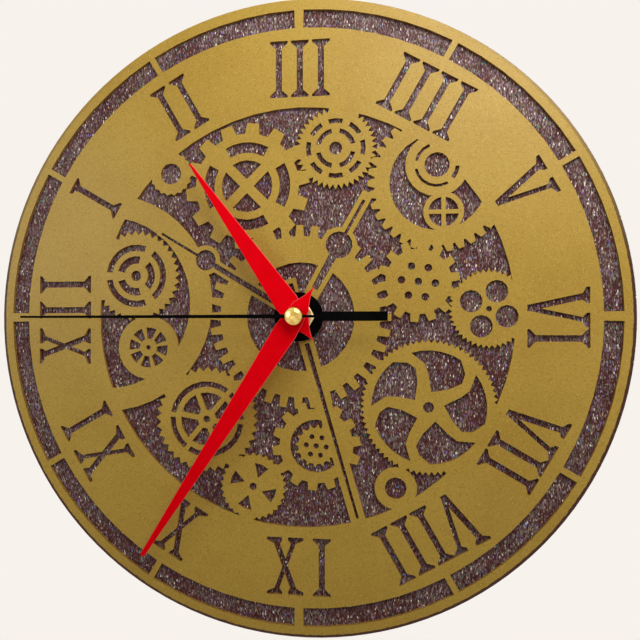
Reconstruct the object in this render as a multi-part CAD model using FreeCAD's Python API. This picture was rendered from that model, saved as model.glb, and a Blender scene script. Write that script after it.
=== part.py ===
import FreeCAD, Part
import os
from math import sin, cos, asin, acos, ceil, pi, radians, degrees

# A wall clock with a round wooden dial. A laser-cut plate in matt gold lies on a
# glittered backing disc, and its openings draw numerals, an hour ring, gear wheels
# and ornamental hands. A battery movement behind the disc turns the three real hands.
# Millimetres. The model is drawn lying down: x to III, y to XII, z towards the viewer,
# z = 0 on the wall. At the end it is stood up, with +Z to XII and the dial facing -Y.

V = FreeCAD.Vector

# dial
dial_radius = 150.0
fret_rim_step = 0.8
backing_thickness = 3.0
fret_thickness = 1.5
least_cut_area_share = 0.000111
fret_bow_sag = 0.15
fret_bow_least_sides = 10

# hub on the dial
bush_wall = 1.35
bush_top_above_nut = 1.0
bush_flange_width = 1.5
bush_flange_thickness = 0.4
washer_radius = 11.5
washer_thickness = 1.2
nut_across_flats = 13.6
nut_thickness = 2.3
fit_clearance = 0.05
seat_clearance = 0.02
play = 0.1

# hands
hour_hand_length = 87.0
minute_hand_length = 132.0
second_hand_length = 131.0
hour_hand_half_width = 5.9
minute_hand_half_width = 5.7
second_hand_half_width = 0.9
second_weight_half_width = 2.1
hand_thickness = 0.6
second_hand_thickness = 0.4
hour_hand_turn = 54.8
minute_hand_turn = 303.0
hand_gap = 2.4
hour_hand_above_nut = 4.3
collet_wall = 1.1
collet_height = 0.8
boss_radius = 4.15
boss_height = 3.2
boss_side_share = 0.35
boss_dome_steps = 4
boss_dimple_radius = 0.85
boss_dimple_depth = 0.5
pipe_end_reach = 0.5

# movement case
case_wall = 1.2
pocket_room = 0.6
case_height = 56.0
front_wall = 1.3
case_corner_radius = 2.0
cell_radius = 7.25
cell_length = 48.9
cell_cap_radius = 2.75
cell_cap_height = 1.6
cell_clearance = 0.1
contact_space = 1.55
hanger_half_width = 7.0
hanger_thickness = 2.0
hanger_hole_radius = 3.0
hanger_rise = 5.0
post_radius = 1.8
post_shoulder = 0.4
post_inset = 2.4

# setting knob and rear cover
cover_thickness = 1.2
cover_gap = 0.1
knob_radius = 4.9
knob_gap = 0.2
knob_recess = 0.2
knob_flange_width = 0.9
knob_flange_thickness = 1.0
knob_grip_count = 12
knob_grip_depth = 0.5
knob_grip_root_share = 0.75
knob_grip_tip_share = 0.45
knob_shaft_radius = 1.2

# gear train
bridge_thickness = 1.0
plate_thickness = 0.5
wheel_thickness = 1.0
level_gap = 0.4
pinion_overrun = 0.2
second_pinion_reach = 1.0
pivot_radius = 0.35
peg_sides = 12
arbor_radius = 0.7
second_arbor_radius = 0.5
minute_pipe_wall = 1.2
hour_pipe_wall = 0.8
collar_width = 0.65
collar_thickness = 0.5
train_module = 0.45
motion_module = 0.5
third_centre_distance = 11.0
rotor_teeth = 6
intermediate_teeth = 36
intermediate_pinion_teeth = 8
second_teeth = 40
second_pinion_teeth = 8
third_teeth = 48
third_pinion_teeth = 6
centre_teeth = 60
cannon_teeth = 10
motion_teeth = 30
motion_pinion_teeth = 8
hour_teeth = 32
knob_teeth = 10
tooth_add_share = 0.85
tooth_dip_share = 1.2
tooth_root_share = 0.55
tooth_tip_share = 0.2
intermediate_turn = 150.0
rotor_turn = 165.0
third_turn = 60.0
motion_turn = -10.0
knob_turn = 0.0

# electric parts
magnet_radius = 3.0
magnet_thickness = 2.5
magnet_gap = 0.5
stator_ring_width = 2.0
stator_leg_width = 3.0
stator_thickness = 1.0
stator_knee_share = 0.7
core_thickness = 0.8
coil_length = 12.0
coil_radius = 2.7
coil_wall = 0.4
coil_height = 20.0
coil_side = 15.0
coil_stud_radius = 1.0
bobbin_flange_thickness = 0.8
bobbin_flange_width = 0.2
board_thickness = 1.0
board_width = 15.0
board_height = 18.6
board_gap = 0.6
board_post_radius = 1.2
board_post_inset = 2.4
chip_gap = 0.3
crystal_radius = 1.0
crystal_length = 6.2
chip_radius = 2.4
chip_height = 0.7
strip_thickness = 0.3
strip_width = 2.4
strip_overlap = 2.0
strip_plate_share = 0.8
contact_tip_radius = 2.0
contact_root_radius = 4.0

# Gear wheels cut in the fret: centre, root and tip as shares of the dial radius,
# teeth, the turn of one tooth in degrees, and the tooth's width at root and tip as
# shares of its pitch.
fret_wheel_shares = {
    "centre": (0.0, 0.0, 0.252, 0.2867, 36, 9.5, 0.62, 0.42),
    "spoked": (0.4133, 0.1667, 0.1667, 0.2, 14, 19.86, 0.62, 0.42),
    "slotted": (0.5233, -0.1153, 0.112, 0.1287, 42, 0.0, 1.0, 0.0),
    "crescent": (0.4087, -0.4267, 0.192, 0.2133, 36, 9.5, 0.86, 0.44),
    "crescent_hole": (0.4613, -0.4247, 0.096, 0.096, 0, 0.0, 0.0, 0.0),
    "crescent_cross": (0.318, -0.444, 0.0613, 0.0613, 0, 0.0, 0.0, 0.0),
    "six_dot": (0.1067, -0.368, 0.1, 0.1247, 14, 19.92, 0.62, 0.42),
    "four_hole": (0.0227, -0.5773, 0.1087, 0.12, 44, 0.0, 1.0, 0.0),
    "windowed": (-0.276, -0.398, 0.1953, 0.2067, 70, 0.0, 1.0, 0.0),
    "half_moon": (-0.4013, -0.054, 0.1153, 0.1387, 14, 20.63, 0.62, 0.42),
    "wide": (-0.3247, 0.2967, 0.1513, 0.1667, 36, 9.0, 1.0, 0.0),
    "sector": (-0.5333, 0.146, 0.096, 0.1053, 30, 0.0, 1.0, 0.0),
    "wedge": (-0.098, 0.4913, 0.1013, 0.1013, 0, 0.0, 0.0, 0.0),
    "ringed": (0.1333, 0.5333, 0.1313, 0.1467, 36, 1.5, 1.0, 0.0),
    "top_idler": (0.46, 0.4167, 0.064, 0.0707, 19, 0.0, 1.0, 0.0),
    "low_idler": (-0.524, -0.2987, 0.0647, 0.0647, 0, 0.0, 0.0, 0.0),
}
# Round holes: wheel, radius, radius of the circle they stand on, count, turn.
fret_hole_shares = (
    ("slotted", 0.0207, 0.0, 1, 0.0),
    ("crescent_hole", 0.038, 0.0, 1, 0.0),
    ("six_dot", 0.012, 0.0, 1, 0.0),
    ("six_dot", 0.012, 0.0513, 6, 24.0),
    ("four_hole", 0.0087, 0.0, 1, 0.0),
    ("four_hole", 0.034, 0.0573, 4, 66.5),
    ("windowed", 0.0167, 0.0, 1, 0.0),
    ("half_moon", 0.0087, 0.0, 1, 0.0),
    ("half_moon", 0.0083, 0.0313, 6, 25.0),
    ("wide", 0.0113, 0.0, 1, 0.0),
    ("sector", 0.012, 0.0, 1, 0.0),
    ("wedge", 0.008, 0.0, 1, 0.0),
    ("ringed", 0.0173, 0.0, 1, 0.0),
    ("top_idler", 0.034, 0.0, 1, 0.0),
    ("low_idler", 0.0333, 0.0, 1, 0.0),
)
# Curved slots: wheel, inner and outer radius, then (middle, half angle) of each.
fret_slot_shares = (
    ("spoked", 0.106, 0.1393, ((0, 30), (90, 30), (180, 30), (270, 30))),
    ("slotted", 0.0487, 0.0627, ((45, 32), (135, 32), (225, 32), (315, 32))),
    ("slotted", 0.0787, 0.0933, tuple((45 * k, 14.5) for k in range(8))),
    ("crescent_hole", 0.0593, 0.068, ((49, 29), (155, 55))),
    ("crescent_hole", 0.056, 0.068, ((-113, 18),)),
    ("wide", 0.1027, 0.12, ((21.8, 57.9), (114.2, 26.9), (205.8, 56.9), (293.2, 22.9))),
    ("wedge", 0.0287, 0.0647, tuple((36 + 45 * k, 15.5) for k in range(8))),
    ("ringed", 0.04, 0.064, ((-90, 44), (31, 44), (150, 44))),
    ("ringed", 0.0813, 0.1013, ((-89, 51), (31, 51), (149, 51))),
)
# Windows between straight spokes: wheel, outer radius, spoke width, count, turn, and
# the hub radius where the window starts (nought for a sharp corner).
fret_window_shares = (
    ("spoked", 0.082, 0.0307, 4, 0.0, 0.0),
    ("crescent_cross", 0.0453, 0.0133, 4, 45.0, 0.0),
    ("wide", 0.0847, 0.0167, 6, 50.0, 0.03),
)
# Ornamental hands cut in the fret: direction, outline and core as (reach, half width)
# and round blobs as (reach, outline radius, core radius).
fret_hand_shares = (
    (59.0, ((0.0, 0.0193), (0.36, 0.0193), (0.535, 0.0107)),
     (((0.0833, 0.0087), (0.33, 0.0087)), ((0.37, 0.0043), (0.521, 0.004))),
     (0.3513, 0.048, 0.0333)),
    (-29.5, ((0.0, 0.0227), (0.2, 0.0267), (0.3, 0.0193), (0.44, 0.018)),
     (((0.1, 0.01), (0.23, 0.0133)), ((0.28, 0.0047), (0.413, 0.0047))),
     (0.2553, 0.0567, 0.042)),
    (-163.6, ((0.0, 0.0233), (0.66, 0.0233)),
     (((0.0867, 0.0077), (0.647, 0.004)),), None),
    (16.4, ((0.0, 0.0227), (0.122, 0.0227)),
     (((0.0667, 0.0113), (0.1067, 0.0113)),), None),
)
field_share = 0.6553
centre_well_share = 0.17
centre_well_shift_share = 0.004
hub_land_share = 0.0667
big_ring_shares = (0.0467, 0.63, 0.278, 0.3507)
crescent_well_share = 0.146
hour_ring_shares = (0.9053, 0.962)
hour_ring_axis_bar_share = 0.028
hour_ring_bar_share = 0.0187
# One window of the five-spoked wheel, as (radius, turn) down one side and up the other.
windowed_side_in_shares = ((0.1733, 17.5), (0.132, 4.5), (0.1, 0.0), (0.0467, -10.0))
windowed_side_out_shares = ((0.0467, -10.0), (0.082, -48.0), (0.1233, -54.0),
                            (0.1493, -47.0), (0.1733, -34.0))
windowed_count = 5
# The half-moon slot has teeth on its inner edge: outer, root and tip radius, first
# and last turn, teeth.
half_moon_shares = (0.082, 0.056, 0.0647, -17.0, 234.0, 11)
# Four rounded triangles near the rim wheel: outer radius, half angle, corner radius
# and corner turn.
sector_hole_shares = (0.0747, 18.5, 0.0307, -7.0)
sector_hole_count = 4
sector_hole_turn = 67.5

# Numerals: foot radius and height, then strokes, as shares of the dial radius.
numeral_foot_share = 0.688
numeral_height_share = 0.1787
stem_half_share = 0.0097
thin_half_share = 0.0073
serif_half_share = 0.028
arm_serif_half_share = 0.0243
serif_thick_share = 0.007
bracket_share = 0.0165
v_reach_share = 0.0385
x_reach_share = 0.0335
numeral_letter_shares = {
    1: (("I", 0.0),),
    2: (("I", -0.0357), ("I", 0.0367)),
    3: (("I", -0.064), ("I", 0.0027), ("I", 0.0693)),
    4: (("I", -0.094), ("I", -0.028), ("I", 0.0373), ("I", 0.104)),
    5: (("V", 0.008),),
    6: (("V", -0.024), ("I", 0.066)),
    7: (("V", -0.067), ("I", 0.023), ("I", 0.0867)),
    8: (("V", -0.1093), ("I", -0.0213), ("I", 0.0447), ("I", 0.1127)),
    9: (("I", -0.0713), ("X", 0.044)),
    10: (("X", -0.0033),),
    11: (("X", -0.0633), ("I", 0.0573)),
    12: (("X", -0.0947), ("I", 0.0233), ("I", 0.1073)),
}
# Hand outlines: places along the length where the blade is widest and where its
# taper changes, the tail's length, and the widths there as shares of the widest.
hour_shape_shares = (0.092, 0.494, 0.534, 0.162)
minute_shape_shares = (0.061, 0.318, 0.805, 0.1265)
tail_shoulder_shares = (0.32, 0.71)
tail_waist_shares = (0.62, 0.28)
# Second hand: neck half width, neck end, weight end and needle tip half width.
second_neck_share = 0.67
second_tip_share = 0.55
second_neck_end_share = 0.094
second_weight_end_share = 0.317


def around(x, y, radius, turn):
    return V(x + radius * cos(radians(turn)), y + radius * sin(radians(turn)), 0)


def outline(points):
    return Part.Face(Part.makePolygon(list(points) + [points[0]]))


def disc(x, y, radius):
    return Part.Face(Part.Wire(Part.makeCircle(radius, V(x, y, 0))))


def bow(x, y, radius, first, last):
    # Points along a round stretch of the fret, no further from it than the sag.
    step = 2 * degrees(acos(1 - min(fret_bow_sag / radius, 1.0)))
    step = min(step, 360.0 / fret_bow_least_sides)
    count = ceil(abs(last - first) / step)
    return [around(x, y, radius, first + (last - first) * k / count) for k in range(count + 1)]


def round_cut(x, y, radius):
    return outline(bow(x, y, radius, 0, 360)[:-1])


def rectangle(x0, y0, x1, y1):
    return outline([V(x0, y0, 0), V(x1, y0, 0), V(x1, y1, 0), V(x0, y1, 0)])


def rounded(x0, y0, x1, y1, radius):
    edges = []
    corners = ((x1 - radius, y1 - radius, 0), (x0 + radius, y1 - radius, 90),
               (x0 + radius, y0 + radius, 180), (x1 - radius, y0 + radius, 270))
    last = None
    first = None
    for cx, cy, turn in corners:
        a, m, b = (around(cx, cy, radius, turn + step) for step in (0, 45, 90))
        if last is not None:
            edges.append(Part.makeLine(last, a))
        else:
            first = a
        edges.append(Part.Arc(a, m, b).toShape())
        last = b
    edges.append(Part.makeLine(last, first))
    return Part.Face(Part.Wire(edges))


def raise_up(face, low, high):
    solid = face.extrude(V(0, 0, high - low))
    solid.translate(V(0, 0, low))
    return solid


def drum(x, y, radius, low, high):
    return Part.makeCylinder(radius, high - low, V(x, y, low))


def peg(x, y, radius, low, high):
    # A small round pin or hole, drawn with few flats.
    flats = [around(x, y, radius, 360.0 * k / peg_sides) for k in range(peg_sides)]
    return raise_up(outline(flats), low, high)


def block(x0, y0, z0, x1, y1, z1):
    return Part.makeBox(x1 - x0, y1 - y0, z1 - z0, V(x0, y0, z0))


def turned(points):
    # Points are (radius, height); the solid is turned about the z axis.
    wire = Part.makePolygon([V(r, 0, z) for r, z in points] + [V(points[0][0], 0, points[0][1])])
    return Part.Face(wire).revolve(V(0, 0, 0), V(0, 0, 1), 360)


def toothed(x, y, root, tip, teeth, turn, root_share, tip_share):
    # Without a flat on the tips the teeth are plain points.
    teeth = round(teeth)
    pitch = 360.0 / teeth
    points = []
    for k in range(teeth):
        middle = turn + k * pitch
        if not tip_share:
            points += [around(x, y, root, middle - pitch / 2), around(x, y, tip, middle)]
            continue
        for radius, side in ((root, -root_share), (tip, -tip_share),
                             (tip, tip_share), (root, root_share)):
            points.append(around(x, y, radius, middle + side * pitch / 2))
    return outline(points)


def ring_slot(x, y, inner, outer, middle, half):
    return outline(bow(x, y, outer, middle - half, middle + half)
                   + bow(x, y, inner, middle + half, middle - half))


def spoke_window(x, y, outer, spoke, count, middle, hub):
    # The opening between two straight spokes of equal width.
    reach = 180.0 / count
    half = reach - degrees(asin(spoke / 2 / outer))
    corner = spoke / 2 / sin(radians(reach))
    rim = bow(x, y, outer, middle - half, middle + half)
    if hub > corner:
        inside = reach - degrees(asin(spoke / 2 / hub))
        return outline(rim + bow(x, y, hub, middle + inside, middle - inside))
    return outline(rim + [around(x, y, corner, middle)])


def mm(share):
    return share * dial_radius


# The fret: what is cut out of the gold plate.

def wheel_centre(name):
    x, y = fret_wheel_shares[name][:2]
    return mm(x), mm(y)


def hand_bar(turn, pairs):
    # A tapering bar along the hand, from (reach, half width) pairs.
    side = [(mm(reach), mm(half)) for reach, half in pairs]
    points = [V(r, h, 0) for r, h in side] + [V(r, -h, 0) for r, h in reversed(side)]
    bar = outline(points)
    bar.rotate(V(0, 0, 0), V(0, 0, 1), turn)
    return bar


def fused(shapes):
    if len(shapes) == 1:
        return shapes[0]
    return shapes[0].fuse(shapes[1:]).removeSplitter()


def merged(faces):
    # One flat outline round faces that overlap, through a thin slab.
    slabs = [face.extrude(V(0, 0, fret_thickness)) for face in faces]
    whole = fused(slabs)
    return Part.makeCompound([f for f in whole.Faces if f.BoundBox.ZMax < fret_thickness / 2])


def stem_letter(x):
    half, serif = mm(stem_half_share), mm(serif_half_share)
    thick, bracket = mm(serif_thick_share), mm(serif_thick_share + bracket_share)
    top = mm(numeral_height_share)
    side = [(serif, 0), (serif, thick), (half, bracket), (half, top - bracket),
            (serif, top - thick), (serif, top)]
    return [outline([V(x + w, h, 0) for w, h in side] + [V(x - w, h, 0) for w, h in reversed(side)])]


def stroke(x0, y0, x1, y1, half):
    # A slanting stroke between the two level lines at y0 and y1.
    return outline([V(x0 - half, y0, 0), V(x0 + half, y0, 0), V(x1 + half, y1, 0), V(x1 - half, y1, 0)])


def arm_serif(x, y, inward):
    half, thick = mm(arm_serif_half_share), mm(serif_thick_share)
    return rectangle(x - half, min(y, y + inward * thick), x + half, max(y, y + inward * thick))


def vee_letter(x):
    reach, top = mm(v_reach_share), mm(numeral_height_share)
    thick, thin = mm(stem_half_share), mm(thin_half_share)
    return [stroke(x, 0, x - reach, top, thick), stroke(x, 0, x + reach, top, thin),
            arm_serif(x - reach, top, -1), arm_serif(x + reach, top, -1)]


def ex_letter(x):
    reach, top = mm(x_reach_share), mm(numeral_height_share)
    thick, thin = mm(stem_half_share), mm(thin_half_share)
    strokes = [stroke(x + reach, 0, x - reach, top, thick), stroke(x - reach, 0, x + reach, top, thin)]
    for side in (-1, 1):
        strokes.append(arm_serif(x + side * reach, top, -1))
        strokes.append(arm_serif(x + side * reach, 0, 1))
    return strokes


def numeral(hour):
    makers = {"I": stem_letter, "V": vee_letter, "X": ex_letter}
    strokes = []
    for kind, place in numeral_letter_shares[hour]:
        strokes += makers[kind](mm(place))
    letters = merged(strokes)
    letters.translate(V(0, mm(numeral_foot_share), 0))
    letters.rotate(V(0, 0, 0), V(0, 0, 1), -30.0 * hour)
    return letters


def hour_ring_slots():
    inner, outer = (mm(share) for share in hour_ring_shares)
    middle = (inner + outer) / 2
    slots = []
    for k in range(12):
        bars = [hour_ring_axis_bar_share if n % 3 == 0 else hour_ring_bar_share for n in (k, k + 1)]
        first, last = (degrees(asin(mm(bar) / 2 / middle)) for bar in bars)
        low, high = 30.0 * k + first, 30.0 * (k + 1) - last
        slots.append(ring_slot(0, 0, inner, outer, (low + high) / 2, (high - low) / 2))
    return slots


def windowed_holes():
    x, y = wheel_centre("windowed")
    holes = []
    for k in range(windowed_count):
        turn = -72.0 * k
        inward = [around(x, y, mm(r), a + turn) for r, a in windowed_side_in_shares]
        outward = [around(x, y, mm(r), a + turn) for r, a in windowed_side_out_shares]
        outer, start = windowed_side_out_shares[-1]
        rim = bow(x, y, mm(outer), start + turn, windowed_side_in_shares[0][1] + turn)
        holes.append(outline(inward + outward[1:] + rim[1:-1]))
    return holes


def half_moon_hole():
    x, y = wheel_centre("half_moon")
    outer, root, tip = (mm(share) for share in half_moon_shares[:3])
    low, high, teeth = half_moon_shares[3:]
    pitch = (high - low) / teeth
    points = []
    for k in range(teeth):
        for radius, place in ((root, 0.0), (root, 0.25), (tip, 0.4), (tip, 0.6), (root, 0.75)):
            points.append(around(x, y, radius, low + (k + place) * pitch))
    points.append(around(x, y, root, high))
    return outline(points + bow(x, y, outer, high, low))


def sector_holes():
    x, y = wheel_centre("sector")
    outer, half, corner, bend = sector_hole_shares
    holes = []
    for k in range(sector_hole_count):
        middle = sector_hole_turn + 360.0 * k / sector_hole_count
        rim = bow(x, y, mm(outer), middle - half, middle + half)
        holes.append(outline(rim + [around(x, y, mm(corner), middle + bend)]))
    return holes


def fret_openings(hub_land):
    wheels = {}
    for name, row in fret_wheel_shares.items():
        x, y = wheel_centre(name)
        root, tip = mm(row[2]), mm(row[3])
        wheels[name] = toothed(x, y, root, tip, *row[4:]) if row[4] else round_cut(x, y, root)
    ring_x, ring_y, ring_in, ring_out = (mm(share) for share in big_ring_shares)
    big_ring = round_cut(ring_x, ring_y, ring_out).cut(round_cut(ring_x, ring_y, ring_in))
    outlines, cores = [], []
    for turn, edge, core_bars, blob in fret_hand_shares:
        shapes = [hand_bar(turn, edge)]
        inner = [hand_bar(turn, bar) for bar in core_bars]
        if blob:
            place = around(0, 0, mm(blob[0]), turn)
            shapes.append(round_cut(place.x, place.y, mm(blob[1])))
            inner.append(round_cut(place.x, place.y, mm(blob[2])))
        outlines.append(merged(shapes))
        cores.append(merged(inner))
    field = round_cut(0, 0, mm(field_share))
    openings = field.cut(list(wheels.values()) + [big_ring] + outlines).Faces
    # Wells inside the centre wheel and the crescent wheel.
    well = round_cut(0, -mm(centre_well_shift_share), mm(centre_well_share))
    openings += well.cut([round_cut(0, 0, hub_land)] + outlines).Faces
    x, y = wheel_centre("crescent")
    crescent = round_cut(x, y, mm(crescent_well_share)).common(field)
    openings += crescent.cut([wheels["crescent_hole"], wheels["crescent_cross"]] + outlines).Faces
    slots = []
    for name, radius, ring, count, turn in fret_hole_shares:
        x, y = wheel_centre(name)
        for k in range(count):
            place = around(x, y, mm(ring), turn + 360.0 * k / count)
            slots.append(round_cut(place.x, place.y, mm(radius)))
    for name, inner, outer, spans in fret_slot_shares:
        x, y = wheel_centre(name)
        slots += [ring_slot(x, y, mm(inner), mm(outer), middle, half) for middle, half in spans]
    for name, outer, spoke, count, turn, hub in fret_window_shares:
        x, y = wheel_centre(name)
        for k in range(count):
            middle = turn + 360.0 * k / count
            slots.append(spoke_window(x, y, mm(outer), mm(spoke), count, middle, mm(hub)))
    slots += windowed_holes() + [half_moon_hole()] + sector_holes()
    for slot in slots:
        openings += slot.cut(outlines).Faces
    for core in cores:
        openings += core.Faces
    for hour in range(1, 13):
        openings += numeral(hour).Faces
    openings += hour_ring_slots()
    least = least_cut_area_share * dial_radius ** 2
    return [face for face in openings if face.Area > least]


def fret_plate_solid(low, high, bore, hub_land):
    wires = [disc(0, 0, dial_radius - fret_rim_step).OuterWire, disc(0, 0, bore).OuterWire]
    for face in fret_openings(hub_land):
        wires += face.Wires
    plate = Part.Face(wires, "Part::FaceMakerBullseye")
    solid = raise_up(plate, low, high)
    return solid.Solids[0] if len(solid.Solids) == 1 else solid


# The gear train.

def pitch_radius(teeth, module):
    return teeth * module / 2


def tip_radius(teeth, module):
    return module * (teeth / 2 + tooth_add_share)


def root_radius(teeth, module):
    return module * (teeth / 2 - tooth_dip_share)


def meshed(direction, turn, teeth, other_teeth):
    # Turn of the other wheel's tooth when this wheel's tooth stands at turn.
    return direction + 180 - (turn - direction) * teeth / other_teeth + 180 / other_teeth


def gear(place, teeth, module, low, high, turn):
    face = toothed(place.x, place.y, root_radius(teeth, module), tip_radius(teeth, module),
                   teeth, turn, tooth_root_share, tooth_tip_share)
    return raise_up(face, low, high)


origin = V(0, 0, 0)
second_pair_distance = pitch_radius(second_teeth + intermediate_pinion_teeth, train_module)
rotor_pair_distance = pitch_radius(intermediate_teeth + rotor_teeth, train_module)
third_module = 2 * third_centre_distance / (second_pinion_teeth + third_teeth)
centre_module = 2 * third_centre_distance / (third_pinion_teeth + centre_teeth)
motion_pair_distance = pitch_radius(cannon_teeth + motion_teeth, motion_module)
hour_module = 2 * motion_pair_distance / (motion_pinion_teeth + hour_teeth)
knob_pair_distance = pitch_radius(motion_teeth + knob_teeth, motion_module)
intermediate_place = around(0, 0, second_pair_distance, intermediate_turn)
rotor_place = around(intermediate_place.x, intermediate_place.y, rotor_pair_distance, rotor_turn)
third_place = around(0, 0, third_centre_distance, third_turn)
motion_place = around(0, 0, motion_pair_distance, motion_turn)
knob_place = around(motion_place.x, motion_place.y, knob_pair_distance, knob_turn)

intermediate_pinion_tooth = meshed(intermediate_turn, 0, second_teeth, intermediate_pinion_teeth)
rotor_tooth = meshed(rotor_turn, 0, intermediate_teeth, rotor_teeth)
third_tooth = meshed(third_turn, 0, second_pinion_teeth, third_teeth)
centre_tooth = meshed(third_turn + 180, 0, third_pinion_teeth, centre_teeth)
motion_tooth = meshed(motion_turn, 0, cannon_teeth, motion_teeth)
hour_tooth = meshed(motion_turn + 180, 0, motion_pinion_teeth, hour_teeth)
knob_tooth = meshed(knob_turn, motion_tooth, motion_teeth, knob_teeth)

# radii of what turns inside what, at the dial's centre
minute_pipe_bore = second_arbor_radius + fit_clearance
minute_pipe_radius = minute_pipe_bore + minute_pipe_wall
hour_pipe_bore = minute_pipe_radius + fit_clearance
hour_pipe_radius = hour_pipe_bore + hour_pipe_wall
bush_bore = hour_pipe_radius + fit_clearance
bush_radius = bush_bore + bush_wall

# levels, from the wall towards the viewer
knob_flange_low = cover_thickness + play
knob_flange_high = knob_flange_low + knob_flange_thickness
bridge_low = knob_flange_high + play
bridge_high = bridge_low + bridge_thickness
intermediate_low = bridge_high + level_gap
intermediate_high = intermediate_low + wheel_thickness
second_low = intermediate_high + 2 * level_gap
second_high = second_low + wheel_thickness
third_low = second_high + second_pinion_reach
third_high = third_low + wheel_thickness
collar_low = third_high + level_gap
collar_high = collar_low + collar_thickness
ring_low = collar_high + play
ring_high = ring_low + wheel_thickness
plate_low = ring_high + level_gap
plate_high = plate_low + plate_thickness
motion_low = plate_high + pinion_overrun
motion_high = motion_low + wheel_thickness
hour_low = motion_high + level_gap
hour_high = hour_low + wheel_thickness
stack_high = hour_high + pinion_overrun + bush_flange_thickness
front_inner = max(stack_high, 2 * (cell_radius + cell_clearance))
flange_low = front_inner - bush_flange_thickness
case_depth = front_inner + front_wall
pivot_high = front_inner + front_wall / 2
fret_low = case_depth + backing_thickness
fret_high = fret_low + fret_thickness
washer_high = fret_high + washer_thickness
nut_high = washer_high + nut_thickness
bush_high = nut_high + bush_top_above_nut
hour_hand_low = nut_high + hour_hand_above_nut
hour_hand_high = hour_hand_low + hand_thickness
minute_hand_low = hour_hand_high + hand_gap
minute_hand_high = minute_hand_low + hand_thickness
second_hand_low = minute_hand_high + hand_gap
second_hand_high = second_hand_low + second_hand_thickness
boss_high = second_hand_high + boss_height
arbor_high = boss_high - boss_dimple_depth - second_arbor_radius

# the case, across and up
half_cell = (cell_length + cell_cap_height) / 2
half_inside = max(half_cell + contact_space, knob_place.x + knob_radius + knob_flange_width + knob_gap)
half_width = half_inside + case_wall
pocket_low = -(tip_radius(centre_teeth, centre_module) + pocket_room)
bay_high = pocket_low - case_wall
bay_low = bay_high - 2 * (cell_radius + cell_clearance)
case_low = bay_low - case_wall
case_high = case_low + case_height
pocket_high = case_high - case_wall
cell_y = (bay_high + bay_low) / 2
cell_z = front_inner - cell_clearance - cell_radius
post_x = half_inside - post_inset
post_places = [(sx, y) for sx in (-post_x, post_x)
               for y in (pocket_low + post_inset, pocket_high - post_inset)]

# electric parts
stator_low = intermediate_high + 4 * level_gap
stator_high = stator_low + stator_thickness
core_high = stator_high + core_thickness
coil_z = (stator_high + core_high) / 2
flange_radius = coil_radius + bobbin_flange_width
bobbin_radius = stator_leg_width / 2 + coil_wall
bobbin_half = coil_length / 2 + bobbin_flange_thickness
core_half = bobbin_half + stator_leg_width
board_right = half_inside - board_gap
board_left = board_right - board_width
board_top = pocket_high - post_inset - post_radius - board_gap
board_bottom = board_top - board_height
board_low = bridge_high + chip_height + chip_gap
board_high = board_low + board_thickness
board_post_places = ((board_left + board_post_inset, board_top - board_post_inset),
                     (board_right - board_post_inset, board_bottom + board_post_inset))
stud_places = [(-coil_side + side * (core_half - stator_leg_width / 2), coil_height) for side in (-1, 1)]
minus_tab_x = (tip_radius(second_teeth, train_module) + knob_place.x - knob_shaft_radius) / 2
plus_tab_y = (board_bottom + board_top) / 2


def movement_case():
    case = raise_up(rounded(-half_width, case_low, half_width, case_high, case_corner_radius), 0, case_depth)
    hanger_y = case_high + hanger_rise
    tab = fused([disc(0, hanger_y, hanger_half_width),
                 rectangle(-hanger_half_width, case_high - case_wall, hanger_half_width, hanger_y)])
    case = case.fuse(raise_up(tab, 0, hanger_thickness))
    pocket = block(-half_inside, pocket_low, 0, half_inside, pocket_high, front_inner)
    bay = block(-half_inside, bay_low, 0, half_inside, bay_high, front_inner)
    case = case.cut([pocket, bay, drum(0, hanger_y, hanger_hole_radius, 0, hanger_thickness)])
    studs = []
    for x, y in post_places:
        studs.append(peg(x, y, post_radius, bridge_high, front_inner))
        studs.append(peg(x, y, post_radius + post_shoulder, plate_high, front_inner))
    for x, y in board_post_places:
        studs.append(peg(x, y, board_post_radius, board_high, front_inner))
    for x, y in stud_places:
        studs.append(peg(x, y, coil_stud_radius, core_high, front_inner))
    case = case.fuse(studs)
    cuts = [drum(0, 0, bush_radius + seat_clearance, front_inner, case_depth)]
    for place in (motion_place, knob_place):
        cuts.append(peg(place.x, place.y, pivot_radius + fit_clearance, front_inner, pivot_high))
    strip_low = board_high + strip_thickness - strip_width
    for side in (-1, 1):
        x0, x1 = sorted((side * half_inside, side * (half_inside - strip_thickness - seat_clearance)))
        cuts.append(block(x0, bay_high, strip_low - play, x1, pocket_low, strip_low + strip_width + play))
    return case.cut(cuts)


def rear_cover():
    face = rectangle(-half_inside + cover_gap, pocket_low + cover_gap,
                     half_inside - cover_gap, pocket_high - cover_gap)
    hole = drum(knob_place.x, knob_place.y, knob_radius + knob_gap, 0, cover_thickness)
    return raise_up(face, 0, cover_thickness).cut(hole)


def bearing_plate(low, high, holes):
    face = rectangle(-half_inside + cover_gap, pocket_low + cover_gap + strip_thickness,
                     half_inside - cover_gap - strip_thickness, pocket_high - cover_gap)
    cuts = [peg(x, y, radius, low, high) for x, y, radius in holes]
    return raise_up(face, low, high).cut(cuts)


def train_bridge():
    holes = [(0, 0, second_arbor_radius + fit_clearance),
             (knob_place.x, knob_place.y, knob_shaft_radius + play)]
    for place in (intermediate_place, rotor_place, third_place):
        holes.append((place.x, place.y, pivot_radius + fit_clearance))
    return bearing_plate(bridge_low, bridge_high, holes)


def middle_plate():
    holes = [(0, 0, minute_pipe_radius + play), (knob_place.x, knob_place.y, knob_shaft_radius + play)]
    for place in (intermediate_place, rotor_place, third_place, motion_place):
        holes.append((place.x, place.y, pivot_radius + fit_clearance))
    holes += [(x, y, post_radius + seat_clearance) for x, y in post_places]
    holes += [(x, y, board_post_radius + play) for x, y in board_post_places]
    holes += [(x, y, coil_stud_radius + play) for x, y in stud_places]
    return bearing_plate(plate_low, plate_high, holes)


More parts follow.
